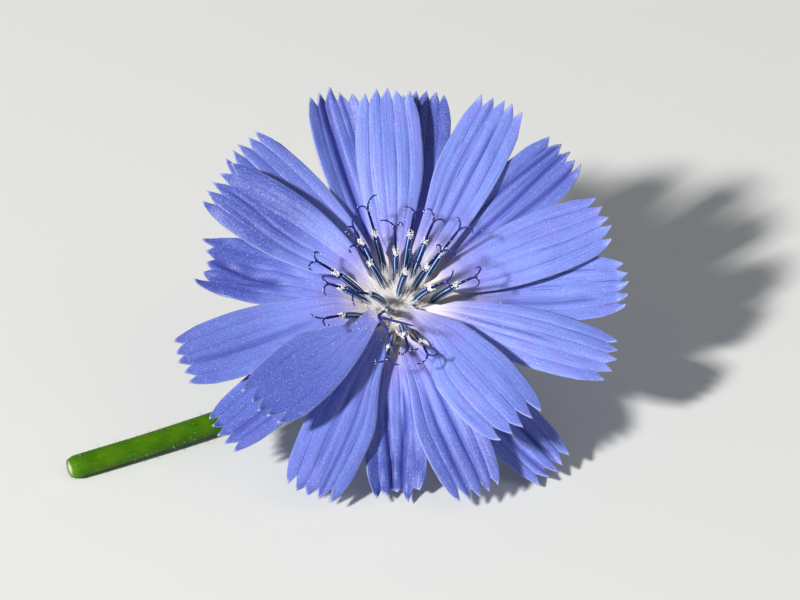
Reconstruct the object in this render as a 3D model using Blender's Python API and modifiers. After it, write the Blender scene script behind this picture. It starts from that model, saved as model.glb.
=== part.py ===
"""A chicory flower, as picked: one head of 19 blue florets on a short cut stalk, lying on a surface.

The head is built round its own axis, +Z up from the foot of the receptacle, with +X to the right and +Y to
the top of the face. It is then leaned over, until it rests on the foot of the cup, the tips of the front
ligules and the stalk. Sizes are in millimetres and become metres when a mesh is made.
"""

import math

import bmesh
import bpy
from mathutils import Matrix, Vector

MM = 0.001
GAP = 0.3
BLADE = 0.6

# Head as a whole
LEAN_DEGREES = 36.0
THROAT_HEIGHT = 9.6
LEVEL_STEP = 1.0

# Receptacle: its outline from the plate under the florets, over the steps of the bracts, to the knob
PLATE_HEIGHT = 1.5
PLATE_RADIUS = 2.62
SHOULDER_HEIGHT = 0.6
SHOULDER_RADIUS = 3.5
FLANGE_RADIUS = 4.1
FLANGE_TOP = 0.05
FLANGE_FOOT = -0.15
KNOB_OUTLINE = ((2.3, -0.6), (1.3, -1.1), (1.1, -1.6), (0.6, -1.9), (0.0, -2.0))
RECEPTACLE_SIDES = 14

# Stalk: a straight run with a slight bow, then a bend up into the knob
STALK_RADIUS = 1.0
STALK_TIP_RADIUS = 0.95
STALK_ROUNDING = 3
STALK_END = (-27.5, -16.0)
STALK_STEPS = 8
STALK_BOW = (0.27, -0.855, 0.252)
STALK_BEND_START = (-2.0, -0.7, 0.0)
STALK_BEND_END = (-0.75, -0.15, 0.15)
STALK_JOIN_DEPTH = 1.1

# Florets: the ring of ovaries each stands in, and the ligule as long as it grew.
# number, ring, throat azimuth, throat radius, tip azimuth, reach, level, rise in degrees, width, roll, arch
OUTER, INNER, CENTRE = 2, 1, 0
FLORETS = (
    (1, INNER, 93, 1.25, 93, 18.8, 1, 5.5, 5.7, 0, -0.25),
    (2, OUTER, 111, 2.75, 107, 20.3, 0, 2.5, 5.2, 4, 0.65),
    (3, OUTER, 77.5, 2.75, 83, 19.7, 0, 1.5, 5.2, -3, 0.1),
    (4, OUTER, 59.5, 2.25, 63, 20.1, 1, 3.5, 5.4, -4, 0.15),
    (5, OUTER, 42, 2.75, 43, 20.1, 0, 2.5, 5.6, -3, 0.3),
    (6, INNER, 28.5, 1.35, 21, 19.3, 1, 5.0, 5.8, -2, -0.2),
    (7, OUTER, 5, 2.75, 4, 19.8, 0, 2.5, 5.4, 4, 0.2),
    (8, INNER, 349, 1.35, 342, 19.4, 1, 3.5, 5.2, 2, -0.2),
    (9, CENTRE, 30, 0.2, 309, 16.7, 2, 9.0, 6.4, 0, -0.3),
    (10, OUTER, 298.5, 2.8, 313, 19.8, 0, -7.2, 5.2, 3, 0.1),
    (11, OUTER, 278, 2.2, 291.5, 19.0, 1, 0.0, 5.4, 4, 0.25),
    (12, OUTER, 263, 2.8, 270, 17.6, 0, -2.0, 5.2, 0, 0.5),
    (13, INNER, 247.5, 1.3, 247, 19.3, 1, 0.5, 5.8, -2, -0.2),
    (14, INNER, 211, 1.3, 224, 16.3, 2, 8.0, 6.2, -2, -0.3),
    (15, OUTER, 203.5, 2.8, 219, 19.5, 0, 0.5, 5.2, 0, 0.1),
    (16, OUTER, 183.5, 2.25, 198, 19.5, 1, 2.0, 5.6, -3, 0.15),
    (17, OUTER, 165, 2.75, 168, 17.6, 0, 3.0, 5.4, -3, 0.1),
    (18, INNER, 148, 1.25, 148, 18.6, 2, 4.0, 5.8, 2, -0.25),
    (19, OUTER, 128.5, 2.25, 134, 19.6, 1, 2.0, 5.4, 3, 0.15),
)

# One floret
OVARY_PROFILE = ((0.0, 0.28), (0.77, 0.415), (1.87, 0.45), (2.46, 0.3))
MOUTH_PROFILE = ((2.2, 0.3), (0.8, 0.37), (0.0, 0.37))
TUBE_ROUNDING = 1
OVARY_RINGS = {OUTER: 2.3, INNER: 1.15, CENTRE: 0.0}
OVARY_RING_SIZE = {OUTER: 12, INNER: 6, CENTRE: 1}
OVARY_START = {OUTER: -14.0, INNER: 30.0, CENTRE: 0.0}

# One ligule
CLAW_WIDTH = 0.74
CLAW_DROP = 1.3
CLAW_RISE = 2.3
CLAW_BEND = 1.35
CLAW_LENGTH = {OUTER: 1.2, INNER: 2.7, CENTRE: 3.6}
CLAW_FLARE = 0.9
WIDEST = 0.66
END_WIDTH = 0.8
TEETH = 5
TOOTH_LENGTH = 1.25
TOOTH_FOOT = 0.55
END_ROUND = 0.55
RIB_RELIEF = 0.07
RIB_AT_TEETH = 0.4
ARCH_LEVEL = 0.35
ROUNDED_ROWS = 3
ROWS = (0.0, 0.054, 0.12, 0.215, 0.36, 0.6, 0.86, 1.0)

# One anther tube with its style
ANTHER_LENGTH = 4.6
STYLE_LENGTH = 2.7
COLUMN_RADII = (0.24, 0.29, 0.3, 0.3, 0.27, 0.16, 0.15, 0.15)
COLUMN_INSET = 0.08
COLUMN_ROUNDING = 1
STIGMA_LENGTH = 1.9
STIGMA_TURN = 210.0
STIGMA_SIDEWAYS = 0.9
STIGMA_OUTWARD = 0.3
STIGMA_RADII = (0.13, 0.13, 0.13, 0.13, 0.078)
BRANCH_START = 0.3
BRANCH_START_RADIUS = 0.104
BRANCH_ROUNDING = 0
LEAN_AT_FOOT = {OUTER: 20.0, INNER: 8.0, CENTRE: 2.0}
LEAN_AT_TOP = {OUTER: 50.0, INNER: 36.0, CENTRE: 18.0}
PUSHED_ASIDE = {10: -12.0, 15: 8.0}

# Bracts
INNER_BRACTS = 8
INNER_BRACT_WIDTH = 2.42
INNER_BRACT_PROFILE = ((0.9, 3.2), (2.2, 3.42), (4.2, 3.55), (6.4, 3.55), (7.6, 3.7), (8.5, 3.95))
OUTER_BRACTS = 5
OUTER_BRACT_WIDTH = 2.9
OUTER_BRACT_START = 30.0
OUTER_BRACT_PROFILE = ((0.35, 4.08), (1.4, 4.34), (2.8, 4.55), (4.0, 5.0), (4.9, 5.9))
BRACT_WIDTHS = (0.85, 0.97, 1.0, 0.93, 0.7, 0.2)
BRACT_COLUMNS = 4

# Shading: edges sharper than this stay crisp
CRISP_DEGREES = 40.0


def clear_objects():
    """Leaves the scene empty."""
    for old in list(bpy.data.objects):
        bpy.data.objects.remove(old, do_unlink=True)


def new_collection(name):
    """A collection linked to the scene."""
    made = bpy.data.collections.new(name)
    bpy.context.scene.collection.children.link(made)
    return made


def new_material(name, colour, roughness):
    """A plain Principled material."""
    made = bpy.data.materials.new(name)
    made.use_nodes = True
    shader = made.node_tree.nodes["Principled BSDF"]
    shader.inputs["Base Color"].default_value = (*colour, 1.0)
    shader.inputs["Roughness"].default_value = roughness
    shader.inputs["Metallic"].default_value = 0.0
    return made


def polar(radius, degrees, height=0.0):
    """A point by its distance from the head's axis, its azimuth and its height."""
    angle = math.radians(degrees)
    return Vector((radius * math.cos(angle), radius * math.sin(angle), height))


def smooth(x):
    """An even ramp from 0 to 1."""
    x = min(max(x, 0.0), 1.0)
    return x * x * (3.0 - 2.0 * x)


def mesh_object(name, bm, home):
    """An object of a bmesh whose points are millimetres."""
    bmesh.ops.transform(bm, matrix=Matrix.Scale(MM, 4), verts=bm.verts[:])
    mesh = bpy.data.meshes.new(name)
    bm.to_mesh(mesh)
    bm.free()
    made = bpy.data.objects.new(name, mesh)
    home.objects.link(made)
    return made


def as_mesh(made, home):
    """The same object with its curve or modifiers turned into one plain mesh."""
    bpy.context.view_layer.update()
    seen = made.evaluated_get(bpy.context.evaluated_depsgraph_get())
    mesh = bpy.data.meshes.new_from_object(seen)
    bm = bmesh.new()
    bm.from_mesh(mesh)
    bmesh.ops.remove_doubles(bm, verts=bm.verts[:], dist=0.000001)
    bmesh.ops.recalc_face_normals(bm, faces=bm.faces[:])
    bm.to_mesh(mesh)
    bm.free()
    name = made.name
    place = made.matrix_world.copy()
    bpy.data.objects.remove(made, do_unlink=True)
    mesh.name = name
    plain = bpy.data.objects.new(name, mesh)
    plain.matrix_world = place
    home.objects.link(plain)
    return plain


def rod(name, points, radii, rounding, home):
    """A round rod through points, thick as radii say, with closed ends."""
    curve = bpy.data.curves.new(name, "CURVE")
    curve.dimensions = "3D"
    curve.bevel_depth = MM
    curve.bevel_resolution = rounding
    curve.use_fill_caps = True
    line = curve.splines.new("POLY")
    line.points.add(len(points) - 1)
    for spot, point, radius in zip(line.points, points, radii):
        spot.co = (*(Vector(point) * MM), 1.0)
        spot.radius = radius
    made = bpy.data.objects.new(name, curve)
    home.objects.link(made)
    return as_mesh(made, home)


def fuse(name, pieces, home):
    """One body of pieces that run into each other."""
    first, rest = pieces[0], pieces[1:]
    group = bpy.data.collections.new(name + "_parts")
    for piece in rest:
        group.objects.link(piece)
    union = first.modifiers.new("union", "BOOLEAN")
    union.operation = "UNION"
    union.operand_type = "COLLECTION"
    union.collection = group
    union.solver = "EXACT"
    joined = as_mesh(first, home)
    for piece in rest:
        bpy.data.objects.remove(piece, do_unlink=True)
    bpy.data.collections.remove(group)
    joined.name = name
    joined.data.name = name
    return joined


def ovary_foot(floret):
    """Where a floret stands on the receptacle: rings of 1, 6 and 12, in the order of their throats."""
    number, ring, azimuth = floret[:3]
    order = sorted((row[2], row[0]) for row in FLORETS if row[1] == ring)
    place = [row[1] for row in order].index(number)
    step = 360.0 / OVARY_RING_SIZE[ring]
    start = OVARY_START[ring]
    shift = round((order[0][0] - start) / step) * step
    return polar(OVARY_RINGS[ring], start + shift + place * step, PLATE_HEIGHT + GAP)


def mouth(floret):
    """The middle of a corolla tube's mouth."""
    return polar(floret[3], floret[2], THROAT_HEIGHT + floret[6] * LEVEL_STEP)


def blade_width(ring, distance, reach, width):
    """A ligule's width at a distance from its tube: a narrow claw, widest past the middle."""
    claw = CLAW_LENGTH[ring]
    widest = claw + (reach - claw) * WIDEST
    if distance < widest:
        return CLAW_WIDTH + (width - CLAW_WIDTH) * math.sin(
            0.5 * math.pi * max(distance - claw, 0.0) / (widest - claw)
        ) ** CLAW_FLARE
    beyond = (distance - widest) / (reach - widest)
    return width * (1.0 - (1.0 - END_WIDTH) * beyond**2)


def ligule_sheet(floret, home):
    """The strap of one floret, an open sheet given its thickness, with five teeth at its end."""
    number, ring, _, _, tip_azimuth, reach, level, rise, width, roll, arch = floret
    foot = mouth(floret) - Vector((0.0, 0.0, CLAW_DROP))
    tip = polar(reach, tip_azimuth)
    way = Vector((tip.x - foot.x, tip.y - foot.y, 0.0))
    span = way.length
    way.normalize()
    side = Vector((-way.y, way.x, 0.0))
    slope = math.tan(math.radians(rise))
    across = 2 * TEETH
    rows = [share * (span - TOOTH_LENGTH - TOOTH_FOOT) for share in ROWS]
    bm = bmesh.new()
    bmesh.ops.create_grid(bm, x_segments=across, y_segments=len(rows), size=1.0)
    for vert in bm.verts:
        column = round((vert.co.x + 1.0) * 0.5 * across)
        row = round((vert.co.y + 1.0) * 0.5 * len(rows))
        t = column / TEETH - 1.0
        if row < len(rows):
            distance = rows[row]
        elif column % 2:
            distance = span
        else:
            distance = span - TOOTH_LENGTH
        end_share = smooth((row - len(rows) + ROUNDED_ROWS) / ROUNDED_ROWS)
        distance -= END_ROUND * t * t * end_share
        height = CLAW_RISE * (1.0 - math.exp(-distance / CLAW_BEND)) + slope * distance
        steep = CLAW_RISE / CLAW_BEND * math.exp(-distance / CLAW_BEND) + slope
        upward = Vector((-way.x * steep, -way.y * steep, 1.0)).normalized()
        half = 0.5 * blade_width(ring, distance, span, width)
        open_share = smooth((half * 2.0 - CLAW_WIDTH) / (width - CLAW_WIDTH))
        lift = arch * (t * t - ARCH_LEVEL) * open_share
        lift += math.tan(math.radians(roll)) * half * t * open_share
        rib = RIB_RELIEF if row < len(rows) else RIB_RELIEF * RIB_AT_TEETH
        lift += rib * open_share if column % 2 else -rib * open_share
        vert.co = foot + way * distance + Vector((0.0, 0.0, height)) + side * half * t + upward * lift
    bmesh.ops.triangulate(bm, faces=bm.faces[:], quad_method="FIXED")
    bmesh.ops.recalc_face_normals(bm, faces=bm.faces[:])
    made = mesh_object(f"ligule_{number:02d}", bm, home)
    wall = made.modifiers.new("thickness", "SOLIDIFY")
    wall.thickness = BLADE * MM
    wall.offset = 0.0
    return as_mesh(made, home)


def make_floret(floret, home):
    """Ovary, corolla tube and ligule, grown as one."""
    number = floret[0]
    foot = ovary_foot(floret)
    top = mouth(floret)
    along = top - foot
    length = along.length
    stations = list(OVARY_PROFILE) + [(length - below, radius) for below, radius in MOUTH_PROFILE]
    points = [foot + along * (distance / length) for distance, _ in stations]
    tube = rod(f"tube_{number:02d}", points, [radius for _, radius in stations], TUBE_ROUNDING, home)
    return fuse(f"floret_{number:02d}", [ligule_sheet(floret, home), tube], home)


def make_anthers(floret, home):
    """The anther tube that stands in a floret's mouth, with its style and two curled stigma branches."""
    number, ring, azimuth = floret[:3]
    outward = polar(1.0, azimuth + PUSHED_ASIDE.get(number, 0.0))
    spot = mouth(floret) + Vector((0.0, 0.0, GAP)) - polar(COLUMN_INSET, azimuth)
    steps = len(COLUMN_RADII) - 1
    length = ANTHER_LENGTH + STYLE_LENGTH
    points = [spot.copy()]
    for index in range(steps):
        share = (index + 0.5) / steps
        lean = math.radians(LEAN_AT_FOOT[ring] + (LEAN_AT_TOP[ring] - LEAN_AT_FOOT[ring]) * share)
        heading = outward * math.sin(lean) + Vector((0.0, 0.0, math.cos(lean)))
        spot = spot + heading * (length / steps)
        points.append(spot.copy())
    sideways = heading.cross(outward).normalized()
    turn = math.radians(STIGMA_TURN)
    radius = STIGMA_LENGTH / turn
    angles = [turn * (index + 1) / len(STIGMA_RADII) for index in range(len(STIGMA_RADII))]
    curls = []
    for way in (-1.0, 1.0):
        bend = (sideways * way * STIGMA_SIDEWAYS + outward * STIGMA_OUTWARD).normalized()
        curls.append(
            [spot + heading * radius * math.sin(a) + bend * radius * (1.0 - math.cos(a)) for a in angles]
        )
    column = rod("column", points + curls[0], COLUMN_RADII + STIGMA_RADII, COLUMN_ROUNDING, home)
    branch_points = [spot - heading * BRANCH_START] + curls[1]
    branch = rod("branch", branch_points, (BRANCH_START_RADIUS,) + STIGMA_RADII, BRANCH_ROUNDING, home)
    return fuse(f"anthers_{number:02d}", [column, branch], home)


def make_bract(name, azimuth, profile, width, home):
    """A pointed green leaf of the cup, bent round the head and following a profile up it."""
    bm = bmesh.new()
    bmesh.ops.create_grid(bm, x_segments=BRACT_COLUMNS, y_segments=len(profile) - 1, size=1.0)
    for vert in bm.verts:
        column = round((vert.co.x + 1.0) * 0.5 * BRACT_COLUMNS)
        row = round((vert.co.y + 1.0) * 0.5 * (len(profile) - 1))
        t = 2.0 * column / BRACT_COLUMNS - 1.0
        height, radius = profile[row]
        share = row / (len(profile) - 1) * (len(BRACT_WIDTHS) - 1)
        low = min(int(share), len(BRACT_WIDTHS) - 2)
        wide = BRACT_WIDTHS[low] + (BRACT_WIDTHS[low + 1] - BRACT_WIDTHS[low]) * (share - low)
        turned = math.degrees(0.5 * width * wide * t / radius)
        vert.co = polar(radius, azimuth - turned, height)
    bmesh.ops.triangulate(bm, faces=bm.faces[:], quad_method="FIXED")
    bmesh.ops.recalc_face_normals(bm, faces=bm.faces[:])
    made = mesh_object(name, bm, home)
    wall = made.modifiers.new("thickness", "SOLIDIFY")
    wall.thickness = BLADE * MM
    wall.offset = 0.0
    return as_mesh(made, home)


def make_receptacle(home):
    """The swollen end of the stalk: a plate for the florets, with a step for each ring of bracts."""
    outline = (
        (0.0, PLATE_HEIGHT),
        (PLATE_RADIUS, PLATE_HEIGHT),
        (PLATE_RADIUS, SHOULDER_HEIGHT),
        (SHOULDER_RADIUS, SHOULDER_HEIGHT),
        (SHOULDER_RADIUS, FLANGE_TOP),
        (FLANGE_RADIUS, 0.0),
        (FLANGE_RADIUS, FLANGE_FOOT),
        *KNOB_OUTLINE,
    )
    mesh = bpy.data.meshes.new("receptacle")
    bm = bmesh.new()
    spots = [bm.verts.new((radius * MM, 0.0, height * MM)) for radius, height in outline]
    for start, end in zip(spots, spots[1:]):
        bm.edges.new((start, end))
    bm.to_mesh(mesh)
    bm.free()
    made = bpy.data.objects.new("receptacle", mesh)
    home.objects.link(made)
    turned = made.modifiers.new("turned", "SCREW")
    turned.steps = RECEPTACLE_SIDES
    turned.render_steps = RECEPTACLE_SIDES
    turned.use_merge_vertices = True
    turned.merge_threshold = 0.00001
    return as_mesh(made, home)


def lean_matrix():
    """Turns the head's frame over towards -Y."""
    return Matrix.Rotation(math.radians(LEAN_DEGREES), 4, "X")


def bake(made, matrix):
    """Moves the mesh itself, so that the object stays at the origin."""
    made.data.transform(matrix @ made.matrix_world)
    made.matrix_world = Matrix.Identity(4)


def lowest(objects):
    """The lowest point of some objects."""
    return min(vert.co.z for made in objects for vert in made.data.vertices)


def make_stalk(head_height, receptacle, home):
    """The cut stalk lies on the surface and runs up into the knob under the receptacle."""
    axis = lean_matrix() @ Vector((0.0, 0.0, 1.0))
    join = Vector((0.0, 0.0, head_height)) - axis * STALK_JOIN_DEPTH
    under_join = Vector((0.0, join.y, STALK_RADIUS))
    end = Vector((*STALK_END, STALK_RADIUS))
    bend_start = under_join + Vector(STALK_BEND_START)
    points = []
    for index in range(STALK_STEPS):
        share = index / (STALK_STEPS - 1)
        bow = Vector(STALK_BOW) * math.sin(math.pi * share)
        points.append(end.lerp(bend_start, share) + bow)
    points.append(under_join + Vector(STALK_BEND_END))
    points.append(join)
    last = len(points) - 1
    radii = [STALK_TIP_RADIUS + (STALK_RADIUS - STALK_TIP_RADIUS) * index / last for index in range(last + 1)]
    stem = rod("stem", points, radii, STALK_ROUNDING, home)
    bake(stem, Matrix.Translation((0.0, 0.0, -lowest([stem]))))
    return fuse("stalk", [receptacle, stem], home)


def centre_on_origin(objects):
    """Puts the middle of the whole flower's box over the origin, with its lowest point at height 0."""
    corners = [vert.co for made in objects for vert in made.data.vertices]
    low = [min(corner[axis] for corner in corners) for axis in range(3)]
    high = [max(corner[axis] for corner in corners) for axis in range(3)]
    shift = Vector((-(low[0] + high[0]) / 2.0, -(low[1] + high[1]) / 2.0, -low[2]))
    for made in objects:
        made.data.transform(Matrix.Translation(shift))


def finish(made, material):
    """Material and shading of a finished piece."""
    made.data.materials.clear()
    made.data.materials.append(material)
    made.data.shade_smooth()
    made.data.set_sharp_from_angle(angle=math.radians(CRISP_DEGREES))


clear_objects()
flower = new_collection("chicory_flower")
petal_blue = new_material("petal_blue", (0.17, 0.21, 0.79), 0.55)
anther_blue = new_material("anther_blue", (0.02, 0.05, 0.22), 0.45)
bract_green = new_material("bract_green", (0.10, 0.26, 0.04), 0.6)
stalk_green = new_material("stalk_green", (0.13, 0.32, 0.05), 0.55)

head = []
for row in FLORETS:
    head.append((make_floret(row, flower), petal_blue))
for row in FLORETS:
    head.append((make_anthers(row, flower), anther_blue))
for index in range(INNER_BRACTS):
    turn = (index + 0.5) * 360.0 / INNER_BRACTS
    piece = make_bract(f"inner_bract_{index + 1}", turn, INNER_BRACT_PROFILE, INNER_BRACT_WIDTH, flower)
    head.append((piece, bract_green))
for index in range(OUTER_BRACTS):
    turn = OUTER_BRACT_START + index * 360.0 / OUTER_BRACTS
    piece = make_bract(f"outer_bract_{index + 1}", turn, OUTER_BRACT_PROFILE, OUTER_BRACT_WIDTH, flower)
    head.append((piece, bract_green))

cup = make_receptacle(flower)
for piece, _ in head + [(cup, None)]:
    bake(piece, lean_matrix())
rise = -lowest([piece for piece, _ in head] + [cup])
for piece, _ in head + [(cup, None)]:
    bake(piece, Matrix.Translation((0.0, 0.0, rise)))
head.append((make_stalk(rise / MM, cup, flower), stalk_green))

centre_on_origin([piece for piece, _ in head])
for piece, material in head:
    finish(piece, material)
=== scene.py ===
"""A picked chicory flower with a cut stalk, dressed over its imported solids."""

import math
import random

import bmesh
import bpy
from mathutils import Matrix, Vector, noise


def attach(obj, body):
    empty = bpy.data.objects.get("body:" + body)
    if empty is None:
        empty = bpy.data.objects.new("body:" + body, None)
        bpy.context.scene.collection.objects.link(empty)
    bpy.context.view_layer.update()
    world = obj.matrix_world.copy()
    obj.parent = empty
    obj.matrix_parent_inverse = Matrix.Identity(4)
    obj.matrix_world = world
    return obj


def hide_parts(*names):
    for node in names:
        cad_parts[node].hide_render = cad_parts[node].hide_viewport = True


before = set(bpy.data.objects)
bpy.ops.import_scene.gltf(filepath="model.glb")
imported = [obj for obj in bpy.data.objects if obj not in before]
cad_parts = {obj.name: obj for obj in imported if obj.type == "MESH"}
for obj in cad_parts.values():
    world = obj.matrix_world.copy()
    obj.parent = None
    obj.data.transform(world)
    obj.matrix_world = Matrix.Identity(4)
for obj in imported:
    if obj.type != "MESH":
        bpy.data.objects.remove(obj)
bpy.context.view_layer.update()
MM = 0.001


# The receptacle is the swollen end of the stalk, and every floret and bract stands on it. It is green
# outside and pale on the plate under the florets. The head leans, so all that grows on it is shaped
# upright, round the head's own axis, and leaned with it at the end.
UP = Vector((0.0, 0.0, 1.0))
LEAN = Matrix.Rotation(math.radians(36.0), 4, "X")
AXIS = LEAN @ UP
PLATE_TOP = 1.5
OVARY_FOOT = PLATE_TOP + 0.3
FOOT_POINTS = 6


def head_place():
    """Where the foot of the receptacle is: under the ring of points at the foot of the middle floret."""
    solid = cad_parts["floret_09"].data
    points = {tuple(round(x, 7) for x in vert.co) for vert in solid.vertices}
    lowest = sorted((Vector(point) for point in points), key=lambda point: point.dot(AXIS))[:FOOT_POINTS]
    return sum(lowest, Vector()) / FOOT_POINTS - AXIS * (OVARY_FOOT * MM)


HEAD = head_place()
TO_HEAD = Matrix.Translation(HEAD) @ LEAN @ Matrix.Scale(MM, 4)


def polar(radius, degrees, height=0.0):
    """A point by its distance from the head's axis, its azimuth and its height."""
    angle = math.radians(degrees)
    return Vector((radius * math.cos(angle), radius * math.sin(angle), height))


def bearing(vert):
    """The angle of a point of an upright form round its axis."""
    return math.atan2(vert.co.y, vert.co.x)


def ramp(x):
    """An even rise from 0 to 1."""
    x = min(max(x, 0.0), 1.0)
    return x * x * (3.0 - 2.0 * x)


def paint(bm, name, value):
    """A number on every point of a piece, for its material to read."""
    layer = bm.verts.layers.float.get(name) or bm.verts.layers.float.new(name)
    for vert in bm.verts:
        vert[layer] = value(vert)


def growth(name, bm, materials, nodes, place=TO_HEAD):
    """The finished piece: moved to its place, riding on the flower and standing for its solids."""
    bmesh.ops.transform(bm, matrix=place, verts=bm.verts[:])
    mesh = bpy.data.meshes.new(name)
    bm.to_mesh(mesh)
    bm.free()
    mesh.shade_smooth()
    piece = bpy.data.objects.new(name, mesh)
    bpy.context.scene.collection.objects.link(piece)
    for material in materials:
        mesh.materials.append(material)
    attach(piece, "root")
    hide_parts(*nodes)
    return piece


def stand(way, spot):
    """The placing of a form that was made upright: its foot on a spot and its top along a way."""
    return Matrix.Translation(spot) @ way.to_track_quat("Z", "Y").to_matrix().to_4x4()


def turned(outline, steps):
    """A closed round form, spun from an outline that starts and ends on its axis."""
    bm = bmesh.new()
    spots = [bm.verts.new((radius, 0.0, height)) for radius, height in outline]
    edges = [bm.edges.new(pair) for pair in zip(spots, spots[1:])]
    bmesh.ops.spin(
        bm, geom=spots + edges, cent=(0, 0, 0), axis=(0, 0, 1), dvec=(0, 0, 0), angle=2.0 * math.pi,
        steps=steps, use_merge=True, use_normal_flip=False, use_duplicate=False,
    )
    bmesh.ops.remove_doubles(bm, verts=bm.verts[:], dist=0.0001)
    bmesh.ops.recalc_face_normals(bm, faces=bm.faces[:])
    return bm


def new_material(name, roughness):
    """A material, its nodes and its shader."""
    material = bpy.data.materials.new(name)
    material.use_nodes = True
    shader = material.node_tree.nodes["Principled BSDF"]
    shader.inputs["Roughness"].default_value = roughness
    return material, material.node_tree, shader


def add(tree, kind, settings=None, **inputs):
    """A node, with plain inputs set and linked ones joined."""
    made = tree.nodes.new(kind)
    for key, value in (settings or {}).items():
        setattr(made, key, value)
    for key, value in inputs.items():
        socket = made.inputs[int(key[1:]) if key[0] == "i" and key[1:].isdigit() else key.replace("_", " ")]
        if isinstance(value, bpy.types.NodeSocket):
            tree.links.new(value, socket)
        else:
            socket.default_value = value
    return made


def math_node(tree, operation, first, second=0.0, third=0.0):
    """The result of one sum."""
    return add(tree, "ShaderNodeMath", {"operation": operation}, i0=first, i1=second, i2=third).outputs[0]


def times(tree, first, second):
    """One value times another."""
    return math_node(tree, "MULTIPLY", first, second)


def between(tree, value, low, high, out_low=0.0, out_high=1.0):
    """A value eased from one range into another, held at the ends."""
    made = add(
        tree, "ShaderNodeMapRange", {"interpolation_type": "SMOOTHSTEP"},
        Value=value, From_Min=low, From_Max=high, To_Min=out_low, To_Max=out_high,
    )
    return made.outputs["Result"]


def tint(tree, share, first, second):
    """A second colour over the first by a share."""
    made = tree.nodes.new("ShaderNodeMix")
    made.data_type = "RGBA"
    sockets = {"Factor_Float": share, "A_Color": first, "B_Color": second}
    for name, value in sockets.items():
        socket = next(one for one in made.inputs if one.identifier == name)
        if isinstance(value, bpy.types.NodeSocket):
            tree.links.new(value, socket)
        else:
            socket.default_value = value if isinstance(value, float) else (*value, 1.0)
    return next(one for one in made.outputs if one.identifier == "Result_Color")


def coats(tree, colour, *layers):
    """A colour under others, each laid over it by its own share."""
    for share, over in layers:
        colour = tint(tree, share, colour, over)
    return colour


def shades(tree, value, stops):
    """Colours along a value."""
    made = tree.nodes.new("ShaderNodeValToRGB")
    band = made.color_ramp
    while len(band.elements) < len(stops):
        band.elements.new(0.5)
    for element, (position, colour) in zip(band.elements, stops):
        element.position = position
        element.color = (*colour, 1.0)
    tree.links.new(value, made.inputs["Fac"])
    return made.outputs["Color"]


def reading(tree, name):
    """A number that was painted on the piece."""
    return add(tree, "ShaderNodeAttribute", {"attribute_name": name}).outputs["Fac"]


def skin_group():
    """The fine living skin of leaf, stalk and strap: small bumps, cloudy changes of colour, painted glints.
    """
    group = bpy.data.node_groups.new("living_skin", "ShaderNodeTree")
    face = group.interface
    for name, value in (("Bump Size", 0.1), ("Cloud Size", 3.0)):
        face.new_socket(name, in_out="INPUT", socket_type="NodeSocketFloat").default_value = value
    for name in ("Bumps", "Clouds", "Painted Glints"):
        face.new_socket(name, in_out="OUTPUT", socket_type="NodeSocketFloat")
    entry = group.nodes.new("NodeGroupInput")
    leave = group.nodes.new("NodeGroupOutput")
    where = group.nodes.new("ShaderNodeTexCoord").outputs["Object"]
    bump_scale = math_node(group, "DIVIDE", 1.0 / MM, entry.outputs["Bump Size"])
    cloud_scale = math_node(group, "DIVIDE", 1.0 / MM, entry.outputs["Cloud Size"])
    bumps = add(group, "ShaderNodeTexVoronoi", {"feature": "SMOOTH_F1"}, Vector=where, Scale=bump_scale)
    clouds = add(group, "ShaderNodeTexNoise", Vector=where, Scale=cloud_scale, Detail=3.0)
    group.links.new(math_node(group, "SUBTRACT", 1.0, bumps.outputs["Distance"]), leave.inputs["Bumps"])
    group.links.new(clouds.outputs["Fac"], leave.inputs["Clouds"])
    # Bright dots on some of the cells: painted glints of light on the papillae
    glint_scale = times(group, bump_scale, 0.6)
    cells = add(group, "ShaderNodeTexVoronoi", {"feature": "F1"}, Vector=where, Scale=glint_scale)
    chance = add(group, "ShaderNodeSeparateColor", Color=cells.outputs["Color"]).outputs["Red"]
    lit = between(group, chance, 0.5, 1.0)
    spot = between(group, cells.outputs["Distance"], 0.32, 0.1)
    group.links.new(times(group, lit, spot), leave.inputs["Painted Glints"])
    return group


def patches(tree, across, across_scale, along, along_scale, own):
    """Long or short patches of noise that follow a piece's length, different on each piece."""
    place = add(
        tree, "ShaderNodeCombineXYZ", X=times(tree, across, across_scale),
        Y=times(tree, along, along_scale), Z=times(tree, own, 5.7),
    )
    return add(tree, "ShaderNodeTexNoise", Vector=place.outputs[0], Scale=1.0, Detail=2.5).outputs["Fac"]


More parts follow.
